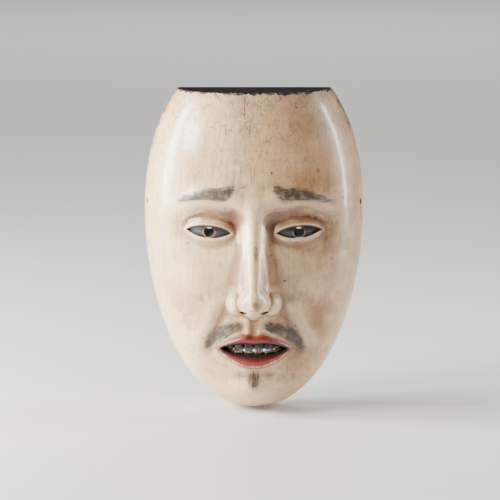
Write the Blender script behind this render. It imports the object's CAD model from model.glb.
"""The look of a noh mask: a carved shell with an aged white face, lacquer, blackened teeth and face pads.

Lengths are millimetres until a mesh is made, which is in metres, in the frame of the CAD model:
+Z is up the forehead, the face looks along -Y, and the back rim lies in the plane Y = 0.
"""

from math import pi, radians

import bpy
import numpy as np
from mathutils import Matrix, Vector
from mathutils.geometry import delaunay_2d_cdt


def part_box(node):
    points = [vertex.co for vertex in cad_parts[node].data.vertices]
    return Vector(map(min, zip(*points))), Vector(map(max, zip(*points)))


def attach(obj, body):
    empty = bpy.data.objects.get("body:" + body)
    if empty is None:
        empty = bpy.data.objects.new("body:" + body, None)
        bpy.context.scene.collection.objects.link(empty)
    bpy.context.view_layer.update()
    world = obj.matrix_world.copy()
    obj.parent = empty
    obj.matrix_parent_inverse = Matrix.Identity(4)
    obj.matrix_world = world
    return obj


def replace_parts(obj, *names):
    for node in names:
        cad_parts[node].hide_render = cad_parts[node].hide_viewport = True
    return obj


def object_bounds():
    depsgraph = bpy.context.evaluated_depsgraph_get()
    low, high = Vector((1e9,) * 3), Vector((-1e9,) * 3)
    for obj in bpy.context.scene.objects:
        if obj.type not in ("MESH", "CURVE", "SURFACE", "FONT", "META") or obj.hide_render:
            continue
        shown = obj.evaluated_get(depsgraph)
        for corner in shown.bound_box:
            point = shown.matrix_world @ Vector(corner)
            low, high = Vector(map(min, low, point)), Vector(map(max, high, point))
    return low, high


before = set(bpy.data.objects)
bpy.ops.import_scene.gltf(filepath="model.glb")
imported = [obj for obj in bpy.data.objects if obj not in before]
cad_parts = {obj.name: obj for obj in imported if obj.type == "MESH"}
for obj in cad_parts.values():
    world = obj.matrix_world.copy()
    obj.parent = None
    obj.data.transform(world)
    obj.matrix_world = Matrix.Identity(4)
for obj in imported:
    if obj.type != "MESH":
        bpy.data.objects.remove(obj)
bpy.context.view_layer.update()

MM = 0.001


def cad_box(node):
    """The lowest and highest corner of a CAD node, in millimetres."""
    low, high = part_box(node)
    return np.array(low) / MM, np.array(high) / MM


# ---------------------------------------------------------------- sizes, from the frame

coat_low, coat_high = cad_box("gofun_face")
wood_high = cad_box("wood_body")[1]
plate_low, plate_high = cad_box("top_edge_lacquer")

HALF_WIDTH = coat_high[0]
TOP = plate_low[2]  # the flat cut above the forehead
EDGE_ROUND = 0.6  # radius of the coat's edge at the back rim, which draws the outline in
CHIN = coat_low[2] - EDGE_ROUND  # where the outline closes under the chin
FACE_HEIGHT = plate_high[2] - CHIN
WIDEST = -12.0  # height at which the mask is widest and deepest
DEEPEST = 54.0  # from the back rim to the front, without the features
CROWN_RISE = 107.0  # where the outline would close above WIDEST if the top weren't cut flat
CHIN_DROP = WIDEST - CHIN
CROWN_POWER, CHIN_POWER = 2.4, 1.8  # roundness of the outline above and below WIDEST
SIDE_POWER = 2.2  # roundness of each level from side to side
FRONT_POWER, CHIN_FRONT_POWER = 2.3, 3.6  # flatness of the front, above and near the chin
CHIN_FRONT_DROP = 110.0  # height below WIDEST over which the front flattens
COAT = coat_high[0] - wood_high[0]  # thickness of the shell-white coat
FILM = plate_high[2] - plate_low[2]  # thickness of the lacquer
WALL = 8.0  # thickness of the wood
HOLLOW_INSET = COAT + WALL + FILM
HOLLOW_RELIEF = 0.4  # how much of the features' relief the hollow follows
RIM_SHARE = 0.6  # the features fade out below this share of the greatest depth

THIRD = FACE_HEIGHT / 3  # the brow, the nose and the chin end the thirds of the face
BROW = plate_high[2] - THIRD
NOSE = BROW - THIRD
EYE = BROW - THIRD / 4
EYE_X = HALF_WIDTH * 2 / 5
MOUTH = NOSE - THIRD / 3

PUPIL_RADIUS = 3.2
GAZE_RISE = 4.0  # the pupils slant up by this towards the wearer, who looks down through them
CORD_RADIUS = 2.0  # of the holes for the cord
CORD_DEPTH = 16.0  # their distance from the back rim's plane

# ---------------------------------------------------------------- arithmetic on arrays

TINY = 1e-9  # keeps divisors from being zero
HALVINGS = 46  # steps of a search by halves


def smooth(t):
    """0 below t = 0, 1 above t = 1, and smooth between."""
    t = np.clip(t, 0.0, 1.0)
    return t * t * (3 - 2 * t)


def bump(value, centre, spread, power=2):
    """1 at a centre, falling smoothly to 0 on both sides."""
    return np.exp(-(((value - centre) / spread) ** power))


def swell(x, z, centre_x, centre_z, spread_x, spread_z):
    """1 at a centre, falling smoothly to 0 around it."""
    return np.exp(-(((x - centre_x) / spread_x) ** 2) - ((z - centre_z) / spread_z) ** 2)


def blend_max(a, b, softness):
    """The larger of two heights, with the crease between them filled in."""
    t = np.clip(0.5 + 0.5 * (a - b) / softness, 0.0, 1.0)
    return b + (a - b) * t + softness * t * (1 - t)


def mound(x, z, centre, radii, foot, rise):
    """The height of half an ellipsoid that stands on a foot level, and falls away steeply outside it."""
    drop, steepness = 0.5, 4
    q = ((x - centre[0]) / radii[0]) ** 2 + ((z - centre[1]) / radii[1]) ** 2
    return np.where(q < 1, foot + rise * np.sqrt(np.clip(1 - q, 0, 1)), foot - steepness * (q - 1) - drop)


# ---------------------------------------------------------------- the plain dome


def dome(x, z, inset=0.0):
    """Depth of the plain form above the back rim's plane, drawn in by inset."""
    reach = np.where(z > WIDEST, CROWN_RISE, CHIN_DROP) - inset
    power = np.where(z > WIDEST, CROWN_POWER, CHIN_POWER)
    room = 1 - (np.abs(z - WIDEST) / reach) ** power - (np.abs(x) / (HALF_WIDTH - inset)) ** SIDE_POWER
    flatness = FRONT_POWER + (CHIN_FRONT_POWER - FRONT_POWER) * smooth((WIDEST - z) / CHIN_FRONT_DROP)
    return (DEEPEST - inset) * np.clip(room, 0, 1) ** (1 / flatness)


def outline_reach(angle, inset, top):
    """Distance from (0, WIDEST) to the outline in a direction, where top is the height of the flat cut."""
    across, up = np.abs(np.cos(angle)), np.sin(angle)
    reach = np.where(up > 0, CROWN_RISE, CHIN_DROP) - inset
    power = np.where(up > 0, CROWN_POWER, CHIN_POWER)
    low, high = np.zeros_like(angle), np.full_like(angle, 2 * CHIN_DROP)
    for _ in range(HALVINGS):
        middle = (low + high) / 2
        share_up = (middle * np.abs(up) / reach) ** power
        inside = share_up + (middle * across / (HALF_WIDTH - inset)) ** SIDE_POWER < 1
        low, high = np.where(inside, middle, low), np.where(inside, high, middle)
    cut = np.where(up > TINY, (top - WIDEST) / np.maximum(up, TINY), np.inf)
    return np.minimum(low, cut)


class Form:
    """A dome over an outline, and the flat plan that it unrolls into along rays from its centre."""

    RAYS = 1440
    STEPS = 500

    def __init__(self, depth, inset, top):
        self.depth, self.inset, self.top = depth, inset, top
        angles = np.linspace(-pi, pi, self.RAYS + 1)
        ratio = np.sin(np.linspace(0, pi / 2, self.STEPS))
        reach = outline_reach(angles, inset, top)[:, None] * ratio
        x, z = reach * np.cos(angles)[:, None], WIDEST + reach * np.sin(angles)[:, None]
        depths = depth(x, z)
        steps = np.hypot(np.diff(reach, axis=1), np.diff(depths, axis=1))
        self.arc = np.concatenate([np.zeros((len(angles), 1)), np.cumsum(steps, axis=1)], axis=1)
        even = np.linspace(0, 1, self.STEPS)
        self.ratio_at = np.array([np.interp(even, arc / arc[-1], ratio) for arc in self.arc])
        pairs = zip(self.arc, depths)
        self.depth_at = np.array([np.interp(even, arc / arc[-1], row) for arc, row in pairs])

    def lookup(self, tables, angle, position):
        """Reads tables of rays by steps between their entries."""
        ray = (angle + pi) / (2 * pi) * self.RAYS
        step = np.clip(position, 0, 1) * (self.STEPS - 1)
        i, j = np.clip(ray.astype(int), 0, self.RAYS - 1), np.clip(step.astype(int), 0, self.STEPS - 2)
        s, t = ray - i, step - j
        return [
            (1 - s) * ((1 - t) * table[i, j] + t * table[i, j + 1])
            + s * ((1 - t) * table[i + 1, j] + t * table[i + 1, j + 1])
            for table in tables
        ]

    def to_plan(self, x, z):
        """Points of the plan for places on the form."""
        angle = np.arctan2(z - WIDEST, x)
        ratio = np.hypot(x, z - WIDEST) / outline_reach(angle, self.inset, self.top)
        position = np.arcsin(np.clip(ratio, 0, 1)) / (pi / 2)
        arc, = self.lookup([self.arc], angle, position)
        return np.stack([arc * np.cos(angle), arc * np.sin(angle)], axis=1)

    def from_plan(self, plan):
        """x, z and depth at points of the plan, and how far out each point is, where 1 is the outline."""
        angle, arc = np.arctan2(plan[:, 1], plan[:, 0]), np.hypot(plan[:, 0], plan[:, 1])
        whole, = self.lookup([self.arc], angle, np.ones_like(angle))
        ratio, depth = self.lookup([self.ratio_at, self.depth_at], angle, arc / whole)
        reach = ratio * outline_reach(angle, self.inset, self.top)
        return reach * np.cos(angle), WIDEST + reach * np.sin(angle), depth, arc / whole


# ---------------------------------------------------------------- curves of the face


def mirrored(curve):
    """The same closed curve on the other side, still counter-clockwise."""
    return np.stack([-curve[::-1, 0], curve[::-1, 1]], axis=1)


def evenly(curve, spacing):
    """Points at even steps along a closed curve."""
    closed = np.vstack([curve, curve[:1]])
    length = np.concatenate([[0], np.cumsum(np.hypot(*np.diff(closed, axis=0).T))])
    count = max(8, int(round(length[-1] / spacing)))
    at = np.linspace(0, length[-1], count, endpoint=False)
    return np.stack([np.interp(at, length, closed[:, 0]), np.interp(at, length, closed[:, 1])], axis=1)


def lens(half_width, upper, lower, count=90):
    """A closed curve between two edges, each a function of the distance across, from -1 to 1."""
    across = np.sin(np.linspace(-pi / 2, pi / 2, count))
    over = np.stack([across * half_width, upper(across)], axis=1)[::-1]
    under = np.stack([across * half_width, lower(across)], axis=1)
    return np.vstack([under[:-1], over[:-1]])


def ring(centre, radii, count):
    """An ellipse."""
    angles = np.linspace(0, 2 * pi, count, endpoint=False)
    return np.stack([centre[0] + radii[0] * np.cos(angles), centre[1] + radii[1] * np.sin(angles)], axis=1)


AT_ONCE = 20000  # points that are compared with a curve at a time


def signed_distance(x, z, curve):
    """Distance to a closed curve, negative inside it."""
    start, along = curve, np.roll(curve, -1, axis=0) - curve
    squared = np.maximum((along**2).sum(axis=1), TINY)
    result = np.empty(len(x))
    for low in range(0, len(x), AT_ONCE):
        part = slice(low, low + AT_ONCE)
        dx, dz = x[part, None] - start[:, 0], z[part, None] - start[:, 1]
        t = np.clip((dx * along[:, 0] + dz * along[:, 1]) / squared, 0, 1)
        nearest = np.sqrt(((dx - t * along[:, 0]) ** 2 + (dz - t * along[:, 1]) ** 2).min(axis=1))
        end_z = start[:, 1] + along[:, 1]
        crosses = (start[:, 1] > z[part, None]) != (end_z > z[part, None])
        rise = np.where(along[:, 1] == 0, TINY, along[:, 1])
        left = x[part, None] < start[:, 0] + dz / rise * along[:, 0]
        inside = (crosses & left).sum(axis=1) % 2 == 1
        result[part] = np.where(inside, -nearest, nearest)
    return result


EYE_HALF = 14.0  # half the width of an eye, of the mouth's opening and of the lips
MOUTH_HALF = 20.0
LIP_HALF = 24.5


def arch(t, height, squareness, sharpness):
    """An edge that rises from 0 at both ends to a height in the middle."""
    return height * (1 - np.abs(t) ** squareness) ** sharpness


def lid_chord(t):
    """The line between the corners of an eye, whose outer corner is the higher one."""
    return EYE + 0.2 + 0.7 * t


def upper_lid(t):
    return lid_chord(t) + arch(t, 4.1, 2.3, 0.9)


def lower_lid(t):
    return lid_chord(t) - arch(t, 3.9, 2.1, 0.95)


def opening_top(t):
    return MOUTH + arch(t, 3.9, 2, 0.8) - 0.7 * bump(t * MOUTH_HALF, 0, 4)


def opening_bottom(t):
    return MOUTH - arch(t, 4.3, 2, 0.8)


def lip_top(t):
    """The upper lip's border, with its two peaks and the dip between them."""
    side = np.abs(t) * LIP_HALF
    peaks = 0.7 * bump(side, 6.5, 4) - 1.3 * bump(side, 0, 3.2)
    return MOUTH + arch(t, 10.0, 1.7, 0.95) + peaks * (1 - t**2)


def lip_bottom(t):
    return MOUTH - arch(t, 12.4, 2.1, 0.9)


eye_edge = lens(EYE_HALF, upper_lid, lower_lid) + [EYE_X, 0]
mouth_edge = lens(MOUTH_HALF, opening_top, opening_bottom)
lip_edge = lens(LIP_HALF, lip_top, lip_bottom)

# Centres, as x and z, and radii.
NOSTRIL = (6.4, NOSE + 2.4)
NOSTRIL_RADII = (2.7, 1.5)
NOSTRIL_EXIT = (6.0, NOSE + 15.5)
NOSTRIL_EXIT_RADII = (1.9, 2.3)
WING = (11.0, NOSE + 6.6)
WING_RADII = (6.6, 7.6)
TIP = (0.0, NOSE + 8.6)
TIP_RADII = (10.5, 10.0)
COLUMELLA = (0.0, NOSE + 1.4)
COLUMELLA_RADII = (4.2, 5.0)


def nose_relief(side, z):
    """How far the nose stands out: the bridge, the tip, the wings and the strip between the nostrils."""
    to_tip = np.clip((EYE + 9 - z) / (EYE + 9 - TIP[1]), 0, 1.15)
    bridge = 3.6 * smooth((BROW + 16 - z) / 22) + 15.2 * (0.25 * to_tip + 0.75 * to_tip**1.3)
    ridge = 0.70 * bump(side, 0, 5.0 + 1.8 * to_tip, 2.5)
    ridge += 0.30 * bump(side, 0, 9.5 + 3.5 * to_tip, 2.3)
    relief = bridge * ridge * smooth((z - (NOSE - 1)) / 8)
    relief = blend_max(relief, mound(side, z, TIP, TIP_RADII, 5.0, 14.4), 5.0)
    relief = blend_max(relief, mound(side, z, WING, WING_RADII, 0.0, 10.6), 4.5)
    return blend_max(relief, mound(side, z, COLUMELLA, COLUMELLA_RADII, 1.5, 8.6), 3.2)


def lip_relief(side, z, from_lips, from_mouth):
    """How far the lips stand out, rolling from their border into the opening."""
    across = np.clip(-from_lips, 0, None) / np.maximum(from_mouth - from_lips, TINY)
    roll = np.sin(pi * np.clip(across, 0, 1) ** 0.85) ** 0.7
    fullness = np.where(z > MOUTH, 2.6, 3.4) * np.clip(1 - (side / (LIP_HALF + 1)) ** 2, 0, 1) ** 0.6
    return np.where(from_lips < 0, fullness * roll + 0.35 * smooth(-from_lips / 0.5), 0)


SOFT_FORMS = (  # rise, place across and up, and spread each way, the same on both sides
    (0.9, 24, BROW + 34, 20, 16),  # the forehead's eminences
    (-5.8, EYE_X - 2, EYE + 3, 17, 11),  # the eye sockets
    (-2.6, 12.5, EYE + 5, 6, 8),  # their inner corners
    (3.0, 37, NOSE + 19, 18, 17),  # the cheeks
    (6.0, 0, MOUTH + 4, 25, 16),  # round the mouth
    (-2.6, 0, MOUTH - 19, 17, 5.5),  # under the lower lip
    (11.5, 0, CHIN + 19, 19, 15),  # the chin
    (-1.3, LIP_HALF + 2, MOUTH - 1, 4.5, 5),  # beside the mouth
)
EYEBALL_RADII = (17.0, 12.5)
CREASE_FADE = 0.25  # share of the crease's half width over which it fades out


def cheek_folds(side, z):
    """The folds from the wings of the nose to beside the mouth."""
    share = smooth((NOSE + 12 - z) / 8) * smooth((z - MOUTH + 6) / 14)
    line = 16.0 + 13.5 * np.clip((NOSE + 10 - z) / (NOSE + 10 - MOUTH), 0, 1.3) ** 1.15
    return share * (1.3 * bump(side, line + 8, 6.5) - 0.9 * bump(side, line, 4.2))


def lid_relief(side, z):
    """The crease above the lids, the lids' raised edges and the eye between them."""
    from_eye = signed_distance(side, z, eye_edge)
    t = np.clip((side - EYE_X) / (EYE_HALF + 4), -1, 1)
    crease = EYE + 10.2 - 6.5 * t**2 + 0.6 * t
    creased = 0.6 * bump(z, crease + 2.2, 1.8) - 0.9 * bump(z, crease, 0.9)
    creased = creased * smooth((1 - np.abs(t)) / CREASE_FADE)
    return creased + 0.75 * bump(from_eye, 0.9, 1.0) - 1.9 * smooth(-from_eye / 0.4)


def face_relief(x, z):
    """How far the features stand in front of the dome."""
    side = np.abs(x)
    height = sum(rise * swell(side, z, *where) for rise, *where in SOFT_FORMS)
    brow_line = BROW + 4.5 - 6.0 * ((side - 24) / 24) ** 2
    height += 2.4 * bump(z, brow_line, 7.0) * smooth((54 - side) / 16) * smooth((side + 2) / 14)
    height += cheek_folds(side, z)
    philtrum = smooth((NOSE - z) / 3) * smooth((z - lip_top(np.zeros(1)) + 1) / 3)
    height += philtrum * (0.45 * bump(side, 3.9, 1.7) - 0.9 * bump(side, 0, 2.3))
    # The lids lie over the eyeball.
    height = blend_max(height, mound(side, z, (EYE_X, EYE), EYEBALL_RADII, -6.6, 6.2), 2.6)
    height += lid_relief(side, z) + nose_relief(side, z)
    return height + lip_relief(side, z, signed_distance(x, z, lip_edge), signed_distance(x, z, mouth_edge))


def with_relief(base, x, z, share=1.0):
    """A dome's depth with a share of the features on it, which fade out towards the back rim."""
    return base + share * face_relief(x, z) * smooth(base / (DEEPEST * RIM_SHARE))


# ---------------------------------------------------------------- surfaces, triangulated in the flat

FINE = 0.42  # spacing of the front's vertices beside the sharpest features
DOUBLINGS = 2  # how many times the spacing doubles away from them
COARSE = FINE * 2**DOUBLINGS
SLACK = 1.42  # a doubled point is kept where the wanted spacing is up to this much finer
MERGE_WITHIN = 1e-6


def lattice(radius, spacing):
    """A triangular lattice of points, and for each the number of times that its spacing may double."""
    count = int(radius / spacing) + 2
    i, j = np.meshgrid(np.arange(-count, count + 1), np.arange(-count, count + 1))
    points = np.stack([(i + j / 2) * spacing, j * spacing * 3**0.5 / 2], axis=-1).reshape(-1, 2)
    doubled = np.zeros(len(points), int)
    for power in range(1, DOUBLINGS + 1):
        doubled[((i % 2**power == 0) & (j % 2**power == 0)).ravel()] = power
    keep = np.hypot(*points.T) < radius
    return points[keep], doubled[keep]


def thinned(points, taken, gap):
    """Which points are further than their gap from all the taken ones."""
    cell = 1.0
    buckets = {}
    for k, (a, b) in enumerate(np.floor(taken / cell).astype(int)):
        buckets.setdefault((a, b), []).append(k)
    keep = np.ones(len(points), bool)
    for n, (a, b) in enumerate(np.floor(points / cell).astype(int)):
        near = [k for i in (-1, 0, 1) for j in (-1, 0, 1) for k in buckets.get((a + i, b + j), ())]
        if near:
            keep[n] = np.hypot(*(taken[near] - points[n]).T).min() > gap[n]
    return keep


def without_ears(triangles, edge_count):
    """Flips each triangle that only has corners on the edge, so that no vertex there is cut off."""
    owner = {}
    for n, (a, b, c) in enumerate(triangles.tolist()):
        for link in ((a, b), (b, c), (c, a)):
            owner[link] = n
    for n in np.flatnonzero(triangles.max(axis=1) < edge_count):
        corners = triangles[n].tolist()
        for k in range(3):
            a, b, c = corners[k], corners[(k + 1) % 3], corners[(k + 2) % 3]
            other = owner.get((a, c))
            if other is not None:
                far = (set(triangles[other].tolist()) - {a, c}).pop()
                triangles[n], triangles[other] = (a, b, far), (b, c, far)
                break
    return triangles


def flat_triangles(points, loops, holes):
    """Counter-clockwise triangles over points, which start with closed loops.

    They lie inside the first of the loops and outside the holes.
    """
    starts = np.cumsum([0] + [len(loop) for loop in loops])
    links = [(a + k, a + (k + 1) % (b - a)) for a, b in zip(starts[:-1], starts[1:]) for k in range(b - a)]
    out = delaunay_2d_cdt([Vector(p) for p in points], links, [], 0, MERGE_WITHIN, False)
    if len(out[0]) != len(points):
        raise RuntimeError(f"{len(out[0]) - len(points)} curves cross in the plan")
    triangles = np.array(out[2])
    middle = points[triangles].mean(axis=1)
    inside = signed_distance(*middle.T, loops[0]) < 0
    for hole in holes:
        inside &= signed_distance(*middle.T, hole) > 0
    triangles = triangles[inside]
    a, b, c = (points[triangles[:, k]] for k in range(3))
    turn = (b[:, 0] - a[:, 0]) * (c[:, 1] - a[:, 1]) - (b[:, 1] - a[:, 1]) * (c[:, 0] - a[:, 0])
    return np.where(turn[:, None] > 0, triangles, triangles[:, ::-1])


def ring_between(outer, inner, spacing):
    """Points laid between two closed loops, or inside one, and their triangles. The loops' points come first."""
    low, high = outer.min(axis=0), outer.max(axis=0)
    points, _ = lattice(np.hypot(*(high - low)) / 2, spacing)
    points = points + (low + high) / 2
    holes = [] if inner is None else [inner]
    keep = signed_distance(*points.T, outer) < -spacing / 2
    for hole in holes:
        keep &= signed_distance(*points.T, hole) > spacing / 2
    points = np.vstack([outer, *holes, points[keep]])
    return points, flat_triangles(points, [outer, *holes], holes)


class Skin:
    """A triangulated surface: its vertices' places, its triangles and the loops around its holes."""

    WITHIN = 0.995  # share of the way to the outline that the lattice fills
    GAP_SHARE, LEAST_GAP = 0.6, 0.3  # how near its points come to a loop: as a share of spacing, and at least
    FLAT_FROM, FLAT_OVER = 20, 15

    def __init__(self, form, edge, holes, guides, fine, spacing_at):
        """edge and holes are arrays of x, z and depth, guides are closed curves of x and z."""
        rings = [edge, *holes.values(), *guides]
        plans = [form.to_plan(r[:, 0], r[:, 1]) for r in rings]
        taken = np.vstack(plans)
        starts = np.cumsum([0] + [len(r) for r in rings])
        radius = np.hypot(*plans[0].T).max()
        points, doubled = lattice(radius, fine)
        x, z, _, share = form.from_plan(points)
        wanted = spacing_at(x, z)
        keep = (share < self.WITHIN) & (wanted < fine * 2.0**doubled * SLACK)
        points, wanted = points[keep], wanted[keep]
        gap = np.maximum(self.GAP_SHARE * wanted, self.LEAST_GAP)
        plan = np.vstack([taken, points[thinned(points, taken, gap)]])
        self.triangles = without_ears(flat_triangles(plan, plans, plans[1:1 + len(holes)]), len(edge))
        self.x, self.z, self.depth, _ = form.from_plan(plan)
        # Where the form isn't steep, its own depth is truer than the tables'.
        flat = smooth((self.depth - self.FLAT_FROM) / self.FLAT_OVER)
        self.depth += flat * (form.depth(self.x, self.z) - self.depth)
        for ring_points, start in zip(rings, starts):
            part = slice(start, start + len(ring_points))
            self.x[part], self.z[part] = ring_points[:, 0], ring_points[:, 1]
            self.depth[part] = ring_points[:, 2] if ring_points.shape[1] == 3 else form.depth(*ring_points.T)
        self.edge = np.arange(len(edge))
        self.holes = {name: np.arange(starts[1 + k], starts[2 + k]) for k, name in enumerate(holes)}
        self.base = self.depth.copy()

    def places(self):
        return np.stack([self.x, -self.depth, self.z], axis=1)


def normals_of(places, triangles):
    """Unit normals at the vertices of a mesh."""
    a, b, c = (places[triangles[:, k]] for k in range(3))
    faces = np.cross(b - a, c - a)
    total = np.zeros_like(places)
    for k in range(3):
        np.add.at(total, triangles[:, k], faces)
    return total / np.maximum(np.linalg.norm(total, axis=1), TINY)[:, None]


def on_dome(form, curve):
    """A curve of x and z with its depth on the form."""
    return np.column_stack([curve, form.depth(curve[:, 0], curve[:, 1])])


CORD_CORNERS = 28


def cord_ring(form, side):
    """A round hole through the side wall, as x, z and depth."""
    angles = np.linspace(0, 2 * pi, CORD_CORNERS, endpoint=False)
    z, depth = CORD_RADIUS * np.sin(angles), CORD_DEPTH - CORD_RADIUS * np.cos(angles)
    low, high = np.full(CORD_CORNERS, HALF_WIDTH / 2), np.full(CORD_CORNERS, HALF_WIDTH)
    for _ in range(HALVINGS):
        middle = (low + high) / 2
        deep = form.depth(middle, z) > depth
        low, high = np.where(deep, middle, low), np.where(deep, high, middle)
    curve = np.stack([low, z, depth], axis=1)
    return curve if side > 0 else (curve * [-1, 1, 1])[::-1]


RIM_SAMPLES, CUT_SAMPLES = 20001, 4001


def rim_and_top(form, spacing):
    """The edge of a form: the back rim from one top corner round the chin to the other, then the top cut.

    Also returns how many of its points are on the back rim.
    """
    angles = np.linspace(-pi, pi, RIM_SAMPLES)[:-1]
    reach = outline_reach(angles, form.inset, np.inf)
    x, z = reach * np.cos(angles), WIDEST + reach * np.sin(angles)
    start = np.argmax((z < form.top) & (angles > 0) & (x < 0))
    x, z = np.roll(x, -start), np.roll(z, -start)
    low = z < form.top
    x, z = x[low], z[low]
    corner = np.abs(x[0])
    x, z = np.r_[-corner, x, corner], np.r_[form.top, z, form.top]
    length = np.concatenate([[0], np.cumsum(np.hypot(np.diff(x), np.diff(z)))])
    at = np.linspace(0, length[-1], int(length[-1] / spacing))
    rim = np.stack([np.interp(at, length, x), np.interp(at, length, z), np.zeros_like(at)], axis=1)
    across = corner * np.cos(np.linspace(0, pi, CUT_SAMPLES))
    depth = form.depth(across, np.full_like(across, form.top))
    length = np.concatenate([[0], np.cumsum(np.hypot(np.diff(across), np.diff(depth)))])
    at = np.linspace(0, length[-1], int(length[-1] / spacing))[1:-1]
    cut_x, cut_depth = np.interp(at, length, across), np.interp(at, length, depth)
    cut = np.stack([cut_x, np.full_like(cut_x, form.top), cut_depth], axis=1)
    return np.vstack([rim, cut]), len(rim)


SHARP = radians(42)  # edges that turn by more than this are shaded as edges


def mesh_object(name, places, faces):
    """A mesh object, from places in millimetres."""
    mesh = bpy.data.meshes.new(name)
    mesh.from_pydata((places * MM).tolist(), [], [list(map(int, f)) for f in faces])
    mesh.validate()
    mesh.shade_smooth()
    mesh.set_sharp_from_angle(angle=SHARP)
    piece = bpy.data.objects.new(name, mesh)
    bpy.context.scene.collection.objects.link(piece)
    return piece


def mark(piece, name, values):
    """Writes one value per vertex, which a material reads by its name.

    The values may be for a shell's outer surface alone, and are then repeated for the inner one.
    """
    layer = piece.data.attributes.new(name, "FLOAT", "POINT")
    layer.data.foreach_set("value", np.resize(values, len(piece.data.vertices)).astype(np.float32))


# ---------------------------------------------------------------- the front surface

PUPIL_CORNERS, NOSTRIL_CORNERS = 56, 32
LIP_STEP, LID_STEP = 0.5, 0.45  # between the points of the lips' and the lids' edges
FRONT_RIM_STEP, HOLLOW_RIM_STEP = 1.3, 1.2
pupil = ring((EYE_X, EYE), (PUPIL_RADIUS, PUPIL_RADIUS), PUPIL_CORNERS)
nostril = ring(NOSTRIL, NOSTRIL_RADII, NOSTRIL_CORNERS)
mouth = evenly(mouth_edge, LIP_STEP)


def holes_in(form, pupil, nostril):
    """All that pierces the mask, as rings on one of its surfaces."""
    return {
        "right_pupil": on_dome(form, pupil),
        "left_pupil": on_dome(form, mirrored(pupil)),
        "right_nostril": on_dome(form, nostril),
        "left_nostril": on_dome(form, mirrored(nostril)),
        "mouth": on_dome(form, mouth),
        "right_cord": cord_ring(form, 1),
        "left_cord": cord_ring(form, -1),
    }


GROWTH = 0.22  # how much the spacing grows with each millimetre from a feature
KEPT_FINE = 0.8  # distance from a feature over which it doesn't grow


def front_spacing(x, z):
    """How far apart the front's vertices may be: close together beside the sharpest features."""
    spacing = np.full(len(x), COARSE)
    close = (np.abs(x) < EYE_X + EYE_HALF + 8) & (z > MOUTH - 22) & (z < EYE + 18)
    side, z = np.abs(x[close]), z[close]
    from_eye = signed_distance(side, z, eye_edge)
    nearest = np.abs(from_eye)
    for curve in (lip_edge, mouth_edge):
        nearest = np.minimum(nearest, np.abs(signed_distance(side, z, curve)))
    for centre, radii in ((WING, WING_RADII), (TIP, TIP_RADII)):
        q = np.hypot((side - centre[0]) / radii[0], (z - centre[1]) / radii[1])
        nearest = np.minimum(nearest, np.abs(q - 1) * min(radii))
    nearest = np.where(from_eye < 0, 0, nearest)
    spacing[close] = np.minimum(FINE + GROWTH * np.clip(nearest - KEPT_FINE, 0, None), COARSE)
    return spacing


front_form = Form(dome, 0.0, TOP)
front_edge, rim_count = rim_and_top(front_form, FRONT_RIM_STEP)
eye_guide = evenly(eye_edge, LID_STEP)
front_guides = [eye_guide, mirrored(eye_guide), evenly(lip_edge, LIP_STEP)]
front_holes = holes_in(front_form, pupil, nostril)
front = Skin(front_form, front_edge, front_holes, front_guides, FINE, front_spacing)
front.depth = with_relief(front.base, front.x, front.z)
rim = front.edge[:rim_count]
cut = front.edge[rim_count:]


def rounded_edge(skin, places, radius, outward):
    """Turns a skin's last stretch before the rim's plane in, or out, by a quarter circle."""
    lift = np.clip(1 - skin.depth / radius, 0, 1)
    shift = outward * radius * (1 - np.sqrt(1 - lift**2))
    away = normals_of(places, skin.triangles)[:, [0, 2]]
    away /= np.maximum(np.linalg.norm(away, axis=1), TINY)[:, None]
    places[:, [0, 2]] += shift[:, None] * away
    return places


def bridge(first, second):
    """Faces between two closed loops of as many vertices."""
    return [(a, b, c, d) for a, b, c, d in zip(first, np.roll(first, -1), np.roll(second, -1), second)]


coat_outer = rounded_edge(front, front.places(), EDGE_ROUND, -1)
coat_outer[cut, 2] = TOP
front_normals = normals_of(coat_outer, front.triangles)


def under_coat(thickness):
    """The front surface drawn in by a thickness, still flat at the rim and the top."""
    places = coat_outer - thickness * front_normals
    places[rim, 1] = 0
    places[cut, 2] = TOP
    places[rim[[0, -1]], 2] = TOP
    return places


def faces_of(triangles, shift=0, flip=False):
    """Triangles as faces of a mesh, in which their surface's vertices come after others."""
    return [tuple(t) for t in ((triangles[:, ::-1] if flip else triangles) + shift).tolist()]


def shell(name, outer, inner, skin):
    """A closed shell between two surfaces with one skin's triangles."""
    count = len(outer)
    faces = faces_of(skin.triangles) + faces_of(skin.triangles, count, flip=True)
    for loop in [skin.edge[::-1], *skin.holes.values()]:
        faces += bridge(loop, loop + count)
    return mesh_object(name, np.vstack([outer, inner]), faces)


gofun = shell("gofun_coat", coat_outer, under_coat(COAT), front)
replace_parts(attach(gofun, "root"), "gofun_face")

# ---------------------------------------------------------------- what is painted on the coat


def spread(values, triangles, rounds):
    """Averages the vertices' values with their neighbours', a number of times."""
    pairs = np.vstack([triangles[:, [0, 1]], triangles[:, [1, 2]], triangles[:, [2, 0]]])
    pairs = np.vstack([pairs, pairs[:, ::-1]])
    count = 1 + np.bincount(pairs[:, 0], minlength=len(values))
    for _ in range(rounds):
        total = [np.bincount(pairs[:, 0], row[pairs[:, 1]], len(values)) for row in values.T]
        values = (values + np.stack(total, axis=1)) / count[:, None]
    return values


def brow_ink(side, z):
    """Soft painted brows that turn up at their inner ends."""
    line = BROW + 7.0 + 3.6 * smooth((19 - side) / 7) - 5.5 * (np.clip(side - 24, 0, None) / 24) ** 2
    width = 4.2 - 2.2 * smooth((side - 18) / 28)
    return bump(z, line, width) * smooth((side - 8) / 10) * smooth((54 - side) / 12)


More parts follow.
